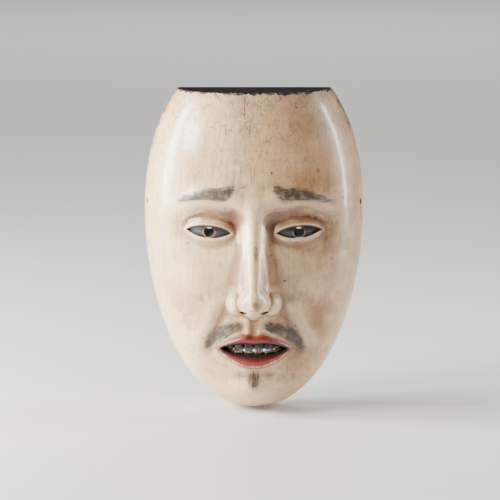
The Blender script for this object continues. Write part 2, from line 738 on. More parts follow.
def moustache_ink(side, z):
    """A thin moustache in two wings that end beside the corners of the mouth."""
    t = (side - 6) / 26
    line = NOSE - 8.5 - 2.0 * t - 12.5 * np.clip(t, 0, None) ** 2.2
    width = 2.8 + 3.4 * np.clip(t, 0, 1)
    return bump(z, line, width) * smooth((side - 4) / 7) * smooth((34 - side) / 7)


def chin_ink(side, z):
    """A small tuft under the lower lip, with a faint dab on each side."""
    tuft = swell(side, z, 0, MOUTH - 20.5, 3.4, 5.5)
    return tuft + 0.4 * swell(side, z, 9, MOUTH - 17.5, 4.5, 2.6)


STAINS_ON_BOTH_SIDES = (  # strength, place across and up, and spread each way
    (0.85, 14, EYE + 8, 8, 9),  # the eye sockets' inner corners
    (0.55, EYE_X + 4, EYE + 12, 18, 8),  # above the lids
    (0.5, LIP_HALF + 4, MOUTH - 6, 8, 14),  # beside the mouth
    (0.35, 15, NOSE + 8, 5, 9),  # beside the nose
)
STAINS_IN_THE_MIDDLE = (
    (0.5, 6, TOP - 4, 52, 26),  # along the top
    (0.65, 4, CHIN + 8, 42, 22),  # under the chin
)


def stains(x, z):
    """Where the coat has turned brown: in places, and all over its right side."""
    brown = sum(strength * swell(np.abs(x), z, *where) for strength, *where in STAINS_ON_BOTH_SIDES)
    brown += sum(strength * swell(x, z, *where) for strength, *where in STAINS_IN_THE_MIDDLE)
    return brown + 0.95 * smooth((x - 3) / 42) - 0.25 * smooth((-x - 8) / 40)


FARTHEST = 9  # a marked distance ends here
GROOVE_ROUNDS = 14  # more of them find wider grooves
TUFT_HALF = 5  # half the width within which the chin's hairs hang straight down

front_x, front_z, front_side = front.x, front.z, np.abs(front.x)
distances = {
    "from_lips": signed_distance(front_x, front_z, lip_edge),
    "from_mouth": signed_distance(front_x, front_z, mouth_edge),
    "from_eye": signed_distance(front_side, front_z, eye_edge),
    "from_pupil": np.hypot(front_side - EYE_X, front_z - EYE) - PUPIL_RADIUS,
}
for name, distance in distances.items():
    mark(gofun, name, np.clip(distance, -FARTHEST, FARTHEST))

# The brows' hairs lie level, the moustache's slant down and the chin's hang.
below_eyes = np.where(front_side > TUFT_HALF, 0.6 * front_side + 0.8 * front_z, front_x)
mark(gofun, "hair_across", np.where(front_z > EYE, front_z, below_eyes))
mark(gofun, "ink", sum(ink(front_side, front_z) for ink in (brow_ink, moustache_ink, chin_ink)))
mark(gofun, "stain", stains(front_x, front_z))
filled = spread(coat_outer, front.triangles, GROOVE_ROUNDS)
mark(gofun, "groove", ((filled - coat_outer) * front_normals).sum(axis=1))
rubbed_tip = swell(front_x, front_z, TIP[0] + 1.5, TIP[1], 5, 6)
rubbed_bridge = swell(front_x, front_z, 1, EYE - 12, 2.5, 9)
mark(gofun, "rubbed", rubbed_tip + rubbed_bridge)

# ---------------------------------------------------------------- the hollow and its lacquer

HOLLOW_TOP = TOP - WALL - FILM
ROOF_ROUND = 11.0  # height over which the hollow rounds into its roof
ROOF_POWER = 2.5
HOLLOW_ROUND = 0.8  # radius of the hollow's edge at the rim
GOUGE_WIDTH, GOUGE_LENGTH, GOUGE_DEPTH = 7.5, 17.0, 1.0
GOUGE_NARROWNESS, GOUGE_STEEPNESS = 1.35, 2.2
GOUGE_SHAKE = 0.34  # how far a cut strays from its place, as a share of its size
GOUGE_PATTERN = 64  # cuts each way before the pattern repeats, which is more than the hollow has
HOLLOW_FINE, HOLLOW_SPACING = 0.3, 1.5


def hollow_dome(x, z):
    """Depth of the plain hollow, which rounds into its roof."""
    rise = np.clip((z - HOLLOW_TOP + ROOF_ROUND) / ROOF_ROUND, 0, 1)
    return dome(x, z, HOLLOW_INSET) * (1 - rise**ROOF_POWER) ** (1 / ROOF_POWER)


def gouge_cuts(across, along, seed):
    """Depth of overlapping gouge cuts, from 1 in the middle of a cut to 0 on a ridge."""
    rng = np.random.default_rng(seed)
    jitter = rng.uniform(-GOUGE_SHAKE, GOUGE_SHAKE, (GOUGE_PATTERN, GOUGE_PATTERN, 2))
    u, v = across / GOUGE_WIDTH, along / GOUGE_LENGTH
    column = np.floor(u).astype(int)
    nearest = np.full(len(u), np.inf)
    for i in (-1, 0, 1):
        shifted = (column + i) % 2 / 2
        row = np.floor(v - shifted).astype(int)
        for j in (-1, 0, 1):
            shake = jitter[(column + i) % GOUGE_PATTERN, (row + j) % GOUGE_PATTERN]
            du = u - (column + i) - 0.5 - shake[:, 0]
            dv = v - shifted - (row + j) - 0.5 - shake[:, 1]
            nearest = np.minimum(nearest, (du * GOUGE_NARROWNESS) ** 2 + dv**2)
    return 1 - np.clip(nearest * GOUGE_STEEPNESS, 0, 1)


hollow_form = Form(hollow_dome, HOLLOW_INSET, HOLLOW_TOP)
hollow_edge, _ = rim_and_top(hollow_form, HOLLOW_RIM_STEP)
nostril_exit = ring(NOSTRIL_EXIT, NOSTRIL_EXIT_RADII, NOSTRIL_CORNERS)
hollow_holes = holes_in(hollow_form, pupil + [0, GAZE_RISE], nostril_exit)
hollow = Skin(
    hollow_form, hollow_edge, hollow_holes, [], HOLLOW_FINE, lambda x, z: np.full(len(x), HOLLOW_SPACING))

# The gouge cuts run up the hollow, and fade out at its edges and around what is pierced.
fade = smooth(hollow.base / 6)
for curve in (mouth_edge, eye_edge, mirrored(eye_edge)):
    fade = fade * smooth((signed_distance(hollow.x, hollow.z, curve) + 3) / 4)
gouged = fade * gouge_cuts(*hollow_form.to_plan(hollow.x, hollow.z).T, seed=4)
hollow.depth = with_relief(hollow.base, hollow.x, hollow.z, HOLLOW_RELIEF) + GOUGE_DEPTH * gouged
hollow_places = rounded_edge(hollow, hollow.places(), HOLLOW_ROUND, 1)

# The film goes on over the back rim, as far as the coat.
RING_SPACING = 1.6
RIM_SINK, RIM_WAVE = 0.12, 0.12  # how far the rim's lacquer lies inside its plane, and how uneven it is
rim_loop = under_coat(COAT)[rim]
top_steps = int((rim_loop[-1, 0] - rim_loop[0, 0]) / HOLLOW_SPACING)
top_x = np.linspace(rim_loop[-1, 0], rim_loop[0, 0], top_steps + 1)[1:-1]
top_line = np.stack([top_x, np.zeros_like(top_x), np.full_like(top_x, TOP)], axis=1)
back_loop = np.vstack([rim_loop, top_line])
hollow_loop = hollow_places[hollow.edge]
ring_points, ring_triangles = ring_between(back_loop[:, [0, 2]], hollow_loop[:, [0, 2]], RING_SPACING)
extra = ring_points[len(back_loop) + len(hollow.edge):]
new_index = np.concatenate([
    len(hollow_places) + np.arange(len(back_loop)),
    hollow.edge,
    len(hollow_places) + len(back_loop) + np.arange(len(extra)),
])
ring_wave = RIM_WAVE * np.sin(extra[:, 0] * 0.31 + 1.0) * np.cos(extra[:, 1] * 0.23)
extra_places = np.stack([extra[:, 0], ring_wave - RIM_SINK, extra[:, 1]], axis=1)
film_places = np.vstack([hollow_places, back_loop, extra_places])
# Seen from behind, the hollow and the rim turn the other way from the front.
film_triangles = np.vstack([hollow.triangles[:, ::-1], new_index[ring_triangles][:, ::-1]])
film_edge = new_index[: len(back_loop)]
film_normals = normals_of(film_places, film_triangles)


def under_film(thickness):
    """The hollow and rim, sunk into the wood by a thickness, with the outer edge still in line."""
    places = film_places - thickness * film_normals
    places[film_edge] = film_places[film_edge] - [0, thickness, 0]
    return places


def film_faces():
    """The film's two surfaces, and the walls between them at its outer edge and its holes."""
    count = len(film_places)
    faces = faces_of(film_triangles) + faces_of(film_triangles, count, flip=True)
    for loop in [film_edge, *(hole[::-1] for hole in hollow.holes.values())]:
        faces += bridge(loop, loop + count)
    return faces


film = mesh_object("hollow_film", np.vstack([film_places, under_film(FILM)]), film_faces())
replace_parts(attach(film, "root"), "hollow_lacquer")
on_ridge = np.full(len(film_places), 0.5)  # where there are no cuts, neither ridge nor hollow
on_ridge[: len(hollow.x)] = np.where(fade > 0.5, 1 - gouged, 0.5)
mark(film, "ridge", on_ridge)

# ---------------------------------------------------------------- the wood between the two

GLUE = 0.02  # the wood stays this far inside its coat and lacquer
UNFILLED = 500.0  # a spacing too wide for any point to be laid inside a loop

wood_front = under_coat(COAT + GLUE)
wood_front[rim, 1] = -FILM - 2 * GLUE
wood_places = np.vstack([wood_front, under_film(FILM + GLUE)])


def wood_faces():
    """The wood's front, its hollow and rim, the walls of its holes, and its flat top."""
    count = len(wood_front)
    faces = faces_of(front.triangles) + faces_of(film_triangles, count)
    for name, loop in front.holes.items():
        faces += bridge(loop, hollow.holes[name] + count)
    back_rim = film_edge[:rim_count] + count
    faces += [(a, b, c, d) for a, b, c, d in zip(rim[1:], rim[:-1], back_rim[:-1], back_rim[1:])]
    corners = [[rim[-1]], cut, [rim[0]], back_rim[:1], (film_edge[rim_count:] + count)[::-1], back_rim[-1:]]
    outline = np.concatenate(corners)[::-1]
    triangles = ring_between(wood_places[outline][:, [0, 1]], None, UNFILLED)[1]
    return faces + faces_of(outline[triangles])


wood = mesh_object("carved_wood", wood_places, wood_faces())
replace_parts(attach(wood, "root"), "wood_body")
pierced = np.zeros(len(wood_places))
for name in ("right_pupil", "left_pupil", "right_nostril", "left_nostril", "mouth"):
    pierced[front.holes[name]] = 1
    pierced[hollow.holes[name] + len(wood_front)] = 1
mark(wood, "pierced", pierced)

# ---------------------------------------------------------------- the lacquer on the flat top

PLATE_REACH = 40  # from its middle, where the next three hold
PLATE_GAP = 0.15  # how far it stays inside the coat's edge
PLATE_ROUND, PLATE_SHOULDER = 0.35, 0.1  # how far its top and its shoulder are drawn in
PLATE_UNEVEN = 0.03
PLATE_REAR_STEPS = 70


def top_plate():
    """A thin plate with rounded edges over the flat cut."""
    front_curve = coat_outer[np.concatenate([[rim[-1]], cut, [rim[0]]])][:, [0, 1]]
    back_x = np.linspace(front_curve[-1, 0], front_curve[0, 0], PLATE_REAR_STEPS)[1:-1]
    outline = np.vstack([front_curve, np.stack([back_x, np.zeros_like(back_x)], axis=1)])[::-1]
    middle = outline.mean(axis=0)

    def drawn_in(amount):
        return middle + (outline - middle) * (1 - amount / PLATE_REACH)

    outline = drawn_in(PLATE_GAP)
    inner = drawn_in(PLATE_ROUND)
    points, triangles = ring_between(inner, None, RING_SPACING)
    rng = np.random.default_rng(7)
    height = FILM + PLATE_UNEVEN * rng.standard_normal(len(points))
    top_face = np.column_stack([points, TOP + height])
    top_face[: len(inner), 2] = TOP + FILM
    shoulder = np.column_stack([drawn_in(PLATE_SHOULDER), np.full(len(outline), TOP + 0.7 * FILM)])
    foot = np.column_stack([outline, np.full(len(outline), TOP)])
    base = np.column_stack([points, np.full(len(points), TOP)])
    base[: len(inner)] = foot
    places = np.vstack([top_face, shoulder, base])
    top_loop = np.arange(len(inner))
    shoulder_loop = len(points) + top_loop
    under = len(points) + len(inner)
    faces = faces_of(triangles) + faces_of(triangles, under, flip=True)
    faces += bridge(shoulder_loop, top_loop) + bridge(under + top_loop, shoulder_loop)
    piece = mesh_object("top_lacquer", places, faces)
    mark(piece, "from_edge", -signed_distance(places[:, 0], places[:, 1], outline))
    return piece


plate = top_plate()
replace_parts(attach(plate, "root"), "top_edge_lacquer")

# ---------------------------------------------------------------- teeth

TEETH_PER_ROW = 6
TOOTH_CELLS = 8
TOOTH_DEPTH = 4.0
TOOTH_GAP = 0.12
TOOTH_BACK = 0.2  # how far the row stands behind the front of its CAD solid
TOOTH_TAPER = 0.10
TOOTH_BOXINESS = 4.5  # 2 is an ellipsoid, and more is boxier
BITE_REACH = 0.25  # how far the biting edges reach past the CAD solid's edge
BITE_UNEVEN = 0.25
BITE_RIDGES = 0.10
LEAN = 2.5  # degrees by which a tooth may stand crooked


def unit_block(cells):
    """The places and faces of a cube from -1 to 1, with a grid of cells on each side."""
    lines = np.linspace(-1, 1, cells + 1)
    found, places, faces = {}, [], []

    def corner(place):
        key = tuple(np.round(place, 6))
        if key not in found:
            found[key] = len(places)
            places.append(place)
        return found[key]

    for axis in range(3):
        for side in (-1, 1):
            for i in range(cells):
                for j in range(cells):
                    square = []
                    for a, b in ((i, j), (i + 1, j), (i + 1, j + 1), (i, j + 1)):
                        place = np.roll([side, lines[a] * side, lines[b]], axis)
                        square.append(corner(place))
                    faces.append(square)
    return np.array(places), faces


def teeth_row(name, node, root):
    """A row of teeth on an arch; root is 1 where they hang from above and -1 where they stand."""
    low, high = cad_box(node)
    width = (high[0] - low[0]) / TEETH_PER_ROW
    sagitta = high[1] - low[1] - TOOTH_DEPTH
    radius = ((high[0] - low[0]) ** 2 / 4 + sagitta**2) / (2 * sagitta)
    block, faces = unit_block(TOOTH_CELLS)
    block = block / (np.abs(block) ** TOOTH_BOXINESS).sum(axis=1)[:, None] ** (1 / TOOTH_BOXINESS)
    rng = np.random.default_rng(11 + root)
    to_root = root * block[:, 2]
    to_bite = (1 - to_root) / 2
    ridges = BITE_RIDGES * np.cos(block[:, 0] * 2.2 * pi) * smooth(-to_root)
    all_places, all_faces = [], []
    for k in range(TEETH_PER_ROW):
        middle = (k + 0.5 - TEETH_PER_ROW / 2) * width
        turn = np.arcsin(middle / radius)
        tooth = block * [(width - TOOTH_GAP) / 2, TOOTH_DEPTH / 2, (high[2] - low[2]) / 2]
        tooth[:, 0] *= 1 - TOOTH_TAPER * to_root
        tooth[:, 1] += 0.35 * to_root - 0.3 * (1 - block[:, 0] ** 2)
        tooth[:, 2] += root * (ridges - BITE_REACH * to_bite) + BITE_UNEVEN * rng.uniform(-1, 1) * to_bite
        lean = turn + radians(rng.uniform(-LEAN, LEAN))
        x = tooth[:, 0] * np.cos(lean) - tooth[:, 1] * np.sin(lean) + radius * np.sin(turn)
        y = tooth[:, 0] * np.sin(lean) + tooth[:, 1] * np.cos(lean) + radius * (1 - np.cos(turn))
        y += low[1] + TOOTH_DEPTH / 2 + TOOTH_BACK
        all_faces += [[v + k * len(block) for v in face] for face in faces]
        all_places.append(np.stack([x, y, tooth[:, 2] + (low[2] + high[2]) / 2], axis=1))
    piece = mesh_object(name, np.vstack(all_places), all_faces)
    mark(piece, "worn", np.tile(smooth((-to_root - 0.45) / 0.5), TEETH_PER_ROW))
    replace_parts(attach(piece, "root"), node)
    return piece


upper_row = teeth_row("upper_tooth_row", "upper_teeth", 1)
lower_row = teeth_row("lower_tooth_row", "lower_teeth", -1)

# ---------------------------------------------------------------- pads


def hollow_depth(x, z):
    """Depth of the lacquered hollow, without its gouge cuts."""
    return with_relief(hollow_dome(x, z), x, z, HOLLOW_RELIEF)


SIM_SCALE = 10.0  # the cloth is simulated at ten times its size, where the solver is at home
SEAM_ROOM = 0.5  # half the thickness of the seam
CLOTH_CELL = 0.9
SEAM_SHARE = 0.2  # the flat pads' thickness at the seam, as a share of what is added in the middle
PRESSED = 0.05  # the under sheet lies this far off the lacquer
CORNER_ROUND = 0.42  # how much the pads' corners are rounded off, where 0 leaves them square
PRESSURE, FRAMES = 2.6, 17


def sewn_cushion(width, height):
    """Two sheets sewn together round a rounded rectangle: places, faces, and each vertex's sheet.

    The sheet is 1 for the upper one, -1 for the one under it and 0 on the seam.
    """
    columns, rows = int(width / CLOTH_CELL), int(height / CLOTH_CELL)
    u, v = np.meshgrid(np.linspace(-1, 1, columns + 1), np.linspace(-1, 1, rows + 1), indexing="ij")
    x = u * np.sqrt(1 - CORNER_ROUND * v**4) * width / 2
    z = v * np.sqrt(1 - CORNER_ROUND * u**4) * height / 2
    plump = np.sqrt(np.clip((1 - u**2) * (1 - v**2), 0, 1))
    upper = np.stack([x, SEAM_ROOM * (SEAM_SHARE + plump), z], axis=-1).reshape(-1, 3)
    seam = ((np.abs(u) == 1) | (np.abs(v) == 1)).ravel()
    index = np.arange(len(upper)).reshape(u.shape)
    under_index = np.where(seam, index.ravel(), len(upper) + np.cumsum(~seam) - 1).reshape(u.shape)
    places = np.vstack([upper, upper[~seam] * [1, -1, 1]])
    sheet = np.concatenate([np.where(seam, 0, 1), np.full((~seam).sum(), -1)])
    faces = []
    for grid, corners in ((index, (0, 1, 2, 3)), (under_index, (3, 2, 1, 0))):
        for i in range(columns):
            for j in range(rows):
                square = [grid[i, j], grid[i, j + 1], grid[i + 1, j + 1], grid[i + 1, j]]
                faces.append([square[k] for k in corners])
    return places, faces, sheet


def inflate(places, faces):
    """Blows a closed cushion up as cloth, so that it shrinks and wrinkles at its seam: its new places."""
    scene = bpy.context.scene
    draft = mesh_object("draft_cushion", places * SIM_SCALE, faces)
    cloth = draft.modifiers.new("cloth", "CLOTH")
    cloth.settings.use_pressure = True
    cloth.settings.uniform_pressure_force = PRESSURE
    cloth.settings.effector_weights.gravity = 0
    cloth.settings.quality = 6
    cloth.settings.tension_stiffness = 20
    cloth.settings.compression_stiffness = 12
    cloth.settings.bending_stiffness = 0.15
    cloth.settings.air_damping = 3
    for frame_number in range(1, FRAMES + 1):
        scene.frame_set(frame_number)
    shape = draft.evaluated_get(bpy.context.evaluated_depsgraph_get()).data
    swollen = np.array([v.co for v in shape.vertices]) / (MM * SIM_SCALE)
    scene.frame_set(1)
    bpy.data.objects.remove(draft)
    return swollen


def pad(name, node, size, turn):
    """A sewn cotton pad, blown up and pressed against the hollow where its CAD solid lies."""
    low, high = cad_box(node)
    centre = (low + high) / 2
    flat, faces, sheet = sewn_cushion(size[0], size[1])
    shape = inflate(flat, faces)
    shape[:, 0] *= size[0] / np.ptp(shape[:, 0])
    shape[:, 2] *= size[1] / np.ptp(shape[:, 2])
    rise = np.where(sheet < 0, PRESSED, np.clip(shape[:, 1], 0, None) + SEAM_ROOM)
    rise = np.where(sheet > 0, rise * size[2] / rise.max(), rise)
    x, z = centre[0] + shape[:, 0] * np.cos(radians(turn)), centre[2] + shape[:, 2]
    step = 0.5
    surface = hollow_depth(x, z)
    slope_x = (hollow_depth(x + step, z) - surface) / step
    slope_z = (hollow_depth(x, z + step) - surface) / step
    outward = np.stack([slope_x, np.ones_like(x), slope_z], axis=1)
    outward /= np.linalg.norm(outward, axis=1)[:, None]
    places = np.stack([x, -surface, z], axis=1) + rise[:, None] * outward
    piece = mesh_object(name, places, faces)
    mark(piece, "thread_across", flat[:, 0])
    mark(piece, "thread_up", flat[:, 2])
    mark(piece, "seam", np.abs(sheet) < 0.5)
    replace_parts(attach(piece, "root"), node)
    return piece


CHEEK_TURN = 48
FOREHEAD_SIZE, CHEEK_SIZE = (51, 18, 9), (24, 27, 9)
pads = [
    pad("forehead_cushion", "forehead_pad", FOREHEAD_SIZE, 0),
    pad("right_cheek_cushion", "right_cheek_pad", CHEEK_SIZE, CHEEK_TURN),
    pad("left_cheek_cushion", "left_cheek_pad", CHEEK_SIZE, -CHEEK_TURN),
]

# ---------------------------------------------------------------- materials


class Paint:
    """A procedural material. Each method adds a node, links what feeds it and returns its output."""

    def __init__(self, name):
        self.material = bpy.data.materials.new(name)
        self.material.use_nodes = True
        self.nodes, self.links = self.material.node_tree.nodes, self.material.node_tree.links
        self.surface = self.nodes["Principled BSDF"]
        whole = self.node("TexCoord", {}, "Object")
        self.place = self.stretched(whole, (1 / MM, 1 / MM, 1 / MM))
        self.x, self.y, self.z = (self.node("SeparateXYZ", {0: self.place}, axis) for axis in "XYZ")

    def feed(self, socket, value):
        if isinstance(value, bpy.types.NodeSocket):
            self.links.new(value, socket)
        else:
            socket.default_value = value

    def node(self, kind, inputs, output=0, **settings):
        node = self.nodes.new("ShaderNode" + kind)
        for name, value in settings.items():
            setattr(node, name, value)
        for name, value in inputs.items():
            self.feed(node.inputs[name], value)
        return node.outputs[output]

    def stretched(self, place, scale):
        return self.node("VectorMath", {0: place, 1: scale}, operation="MULTIPLY")

    def maths(self, operation, a, b=0.0):
        return self.node("Math", {0: a, 1: b}, operation=operation)

    def product(self, first, *others):
        for other in others:
            first = self.maths("MULTIPLY", first, other)
        return first

    def total(self, first, *others):
        for other in others:
            first = self.maths("ADD", first, other)
        return first

    def ramp(self, value, start, end, low=0.0, high=1.0):
        """Low where the value is start, high where it is end, and smooth between."""
        inputs = {"Value": value, "From Min": start, "From Max": end, "To Min": low, "To Max": high}
        return self.node("MapRange", inputs, interpolation_type="SMOOTHSTEP")

    def either(self, a, b):
        return self.maths("MAXIMUM", a, b)

    def mark(self, name):
        return self.node("Attribute", {}, "Fac", attribute_name=name)

    def mix(self, share, under, over):
        return self.node("Mix", {0: share, 6: under, 7: over}, 2, data_type="RGBA")

    def noise(self, size, detail=3.0, roughness=0.55, stretch=(1, 1, 1), shift=0.0, place=None):
        """Noise whose lumps are about as many millimetres wide as size."""
        where = self.stretched(place or self.place, stretch)
        where = self.node("VectorMath", {0: where, 1: (shift, shift * 0.7, shift * 1.3)}, operation="ADD")
        inputs = {"Vector": where, "Scale": 1 / size, "Detail": detail, "Roughness": roughness}
        return self.node("TexNoise", inputs, "Fac")

    def bent(self, amount, size):
        """The place, shaken by noise."""
        shake = self.node("TexNoise", {"Vector": self.place, "Scale": 1 / size, "Detail": 2.0}, "Color")
        shake = self.node("VectorMath", {0: shake, 1: (0.5, 0.5, 0.5)}, operation="SUBTRACT")
        shake = self.stretched(shake, (amount, amount, amount))
        return self.node("VectorMath", {0: self.place, 1: shake}, operation="ADD")

    def cracks(self, size, width, stretch=(1, 1, 1), bend=1.5):
        """1 on the hair cracks between cells, which are width of a cell wide."""
        where = self.stretched(self.bent(bend, size * 0.7), stretch)
        inputs = {"Vector": where, "Scale": 1 / size}
        edge = self.node("TexVoronoi", inputs, "Distance", feature="DISTANCE_TO_EDGE")
        return self.ramp(edge, width, width * 0.3)

    def specks(self, size, radius, share, shift=0.0):
        """1 on round specks, one in the given share of cells."""
        where = self.bent(size * 0.4, size * 0.3)
        where = self.node("VectorMath", {0: where, 1: (shift, shift, shift)}, operation="ADD")
        inputs = {"Vector": where, "Scale": 1 / size}
        distance = self.node("TexVoronoi", inputs, "Distance")
        pick = self.node("TexVoronoi", inputs, "Color")
        pick = self.node("SeparateColor", {0: pick}, 0)
        spread = self.ramp(pick, 1 - share, 1.0, 0.0, radius / size)
        return self.ramp(self.maths("SUBTRACT", distance, spread), 0.0, -0.25 * radius / size)

    def scratches(self, size, stretch, shift=0.0):
        """1 on fine wandering lines."""
        lines = self.noise(size, 1.0, 0.4, stretch, shift)
        thin = self.ramp(self.maths("ABSOLUTE", self.maths("SUBTRACT", lines, 0.5)), 0.006, 0.001)
        return self.product(thin, self.ramp(self.noise(size * 0.6, shift=shift + 9), 0.55, 0.65))

    def finish(self, colour, roughness, height=None, **values):
        """Sets what the surface is: height is in millimetres, and the rest are the shader's own sockets."""
        self.feed(self.surface.inputs["Base Color"], colour)
        self.feed(self.surface.inputs["Roughness"], roughness)
        if height is not None:
            bump = self.node("Bump", {"Height": height, "Distance": MM, "Strength": 1.0})
            self.feed(self.surface.inputs["Normal"], bump)
        for name, value in values.items():
            self.feed(self.surface.inputs[name.replace("_", " ")], value)
        return self.material


def colour(red, green, blue):
    """A colour as a shader takes it, from the values from 0 to 255 that a screen shows."""
    return (*(((v / 255 + 0.055) / 1.055) ** 2.4 for v in (red, green, blue)), 1.0)


IVORY = colour(236, 202, 158)
CREAM = colour(210, 168, 120)
TAN = colour(148, 102, 62)
STAIN = colour(108, 62, 31)
DIRT = colour(72, 47, 29)
SOOT = colour(28, 25, 23)
INK = colour(34, 30, 29)
VERMILION = colour(128, 26, 16)
LIP_SHADE = colour(44, 16, 13)
EYE_GREY = colour(58, 57, 58)
OLD_WOOD = colour(118, 80, 48)


def shell_white():
    """Aged shell-white: stained, brushed, crazed, pricked with pinholes, rubbed at its edges, and painted."""
    p = Paint("aged_shell_white")
    cloud, blotch = p.noise(46, 3), p.noise(8, 5, 0.65, shift=5)
    body = p.mix(p.ramp(cloud, 0.38, 0.66), IVORY, CREAM)
    body = p.mix(p.ramp(blotch, 0.48, 0.75, 0, 0.42), body, TAN)
    uneven = p.ramp(p.noise(13, 5, 0.6, shift=17), 0.28, 0.72, 0.55, 1.25)
    stain = p.node("Clamp", {"Value": p.product(p.mark("stain"), uneven)})
    body = p.mix(p.product(stain, 0.86), body, p.mix(p.ramp(cloud, 0.35, 0.6), STAIN, TAN))

    # Brush lines run up and down, with fainter ones across them.
    lines = p.noise(0.7, 4, 0.6, (1, 1, 0.03))
    wide_lines = p.noise(2.6, 3, 0.6, (1, 1, 0.04), 3)
    cross_lines = p.noise(0.8, 3, 0.6, (0.05, 0.3, 1), 7)
    brushed = p.ramp(p.noise(30, 2, shift=21), 0.38, 0.62, 0.35, 1.0)
    body = p.mix(p.product(p.ramp(lines, 0.48, 0.74), brushed, 0.55), body, DIRT)
    body = p.mix(p.product(p.ramp(wide_lines, 0.50, 0.72), 0.34), body, STAIN)
    body = p.mix(p.product(p.ramp(cross_lines, 0.51, 0.73), brushed, 0.34), body, DIRT)

    # Dirt lies in the grooves, and the ridges are rubbed pale.
    groove = p.mark("groove")
    body = p.mix(p.ramp(groove, 0.03, 0.45, 0, 0.62), body, STAIN)
    body = p.mix(p.ramp(groove, -0.06, -0.5, 0, 0.5), body, IVORY)

    # Hair cracks: long ones up the forehead, and crazing in patches.
    on_forehead = p.ramp(p.z, BROW + 6, TOP - 12)
    long_cracks = p.cracks(4.2, 0.036, (1, 1, 0.10), 0.8)
    long_cracks = p.product(long_cracks, p.ramp(p.noise(16, shift=31), 0.38, 0.54))
    crazing = p.product(p.cracks(2.6, 0.045), p.ramp(p.noise(13, shift=41), 0.54, 0.66))
    cracked = p.either(p.product(long_cracks, p.ramp(on_forehead, 0, 1, 0.15, 0.6)), p.product(crazing, 0.35))
    body = p.mix(cracked, body, DIRT)
    pitted = p.ramp(p.noise(15, 3, shift=111), 0.40, 0.58)
    pitted = p.product(pitted, p.ramp(p.z, EYE, BROW + 16, 0.25, 1.0))
    pinholes = p.either(p.specks(2.1, 0.42, 0.60), p.product(p.specks(1.3, 0.34, 0.80, 7.7), pitted))
    flecks = p.specks(7.5, 0.95, 0.45, 3.3)
    scratched = p.either(p.scratches(9, (1, 1, 0.10)), p.scratches(14, (0.5, 1, 0.12), 27))
    body = p.mix(p.product(pinholes, 0.75), body, DIRT)
    body = p.mix(p.product(flecks, 0.85), body, SOOT)
    body = p.mix(p.product(scratched, 0.45), body, DIRT)

    # The nose is rubbed, and the edges are worn down to a dark ground.
    rub = p.ramp(p.total(p.mark("rubbed"), p.noise(2.2, 5, 0.7, shift=51)), 1.12, 1.36)
    body = p.mix(p.product(rub, 0.7), body, OLD_WOOD)
    tatter = p.noise(4.5, 6, 0.72, shift=61)
    from_rim = p.maths("MULTIPLY", p.y, -1.0)
    high_up = p.ramp(p.z, -20, 50, 0.30, 1.0)
    near_rim = p.product(p.ramp(from_rim, 26.0, 2.0), high_up)
    rim_wear = p.ramp(p.total(p.product(near_rim, 0.44), tatter), 0.70, 0.90)
    near_top = p.ramp(p.z, TOP - 3.2, TOP + 0.1)
    top_wear = p.ramp(p.total(p.product(near_top, 0.40), tatter), 0.80, 0.88)
    at_side = p.ramp(p.maths("ABSOLUTE", p.x), HALF_WIDTH - 26, HALF_WIDTH - 8)
    corner = p.product(at_side, p.ramp(p.z, TOP - 34, TOP - 4))
    corner_wear = p.ramp(p.total(p.product(corner, 0.30), tatter), 0.70, 0.92)
    worn = p.either(p.product(rim_wear, 0.8), p.either(top_wear, p.product(corner_wear, 0.45)))
    body = p.mix(worn, body, p.mix(p.ramp(blotch, 0.45, 0.6), SOOT, DIRT))

    # Brows, moustache and tuft in thin ink, drawn out along the hairs.
    along_x, along_z = p.product(p.x, 0.10), p.product(p.z, 0.06)
    across = p.node("CombineXYZ", {"X": p.mark("hair_across"), "Y": along_x, "Z": along_z})
    hairs = p.noise(0.75, 3, 0.6, place=across)
    ink = p.ramp(p.product(p.mark("ink"), p.ramp(hairs, 0.28, 0.72, 0.65, 1.6)), 0.05, 0.72, 0, 0.94)
    ink = p.product(ink, p.ramp(p.noise(3.5, 4, 0.6, shift=71), 0.2, 0.6, 0.7, 1.0))
    body = p.mix(ink, body, INK)

    # The eyes: grey, black towards the lids, with a pale ring round the pierced pupil.
    ragged = p.ramp(p.noise(1.1, 4, 0.7, shift=81), 0.3, 0.7, -0.22, 0.22)
    from_eye = p.mark("from_eye")
    in_eye = p.ramp(p.total(from_eye, p.product(ragged, 0.5)), 0.05, -0.25)
    eye_colour = p.mix(p.ramp(from_eye, -0.2, -2.8), SOOT, EYE_GREY)
    eye_colour = p.mix(p.ramp(blotch, 0.4, 0.7, 0, 0.5), eye_colour, SOOT)
    from_pupil = p.mark("from_pupil")
    ring_mark = p.ramp(p.maths("ABSOLUTE", p.maths("SUBTRACT", from_pupil, 0.55)), 0.55, 0.25)
    eye_colour = p.mix(p.product(ring_mark, 0.8), eye_colour, TAN)
    body = p.mix(in_eye, body, eye_colour)
    lash = p.product(p.ramp(from_eye, 0.75, 0.15), p.ramp(p.z, EYE, EYE + 1.5))
    body = p.mix(p.product(lash, 0.8), body, SOOT)

    # The lips: vermilion, dark inside, flaking along the lower edge.
    from_lips, from_mouth = p.mark("from_lips"), p.mark("from_mouth")
    on_lips = p.ramp(p.total(from_lips, p.product(ragged, 1.3)), 0.12, -0.2)
    flaking = p.product(p.ramp(from_lips, -3.6, -0.6), p.ramp(p.z, MOUTH, MOUTH - 4))
    flakes = p.ramp(p.total(p.product(flaking, 0.34), p.noise(1.4, 5, 0.7, shift=91)), 0.76, 0.82)
    lip_colour = p.mix(p.ramp(p.noise(3.0, 4, 0.6, shift=95), 0.4, 0.7, 0, 0.6), VERMILION, LIP_SHADE)
    lip_colour = p.mix(p.ramp(from_mouth, 3.4, 0.6), lip_colour, LIP_SHADE)
    body = p.mix(p.product(on_lips, p.ramp(flakes, 0, 1, 1.0, 0.12)), body, lip_colour)

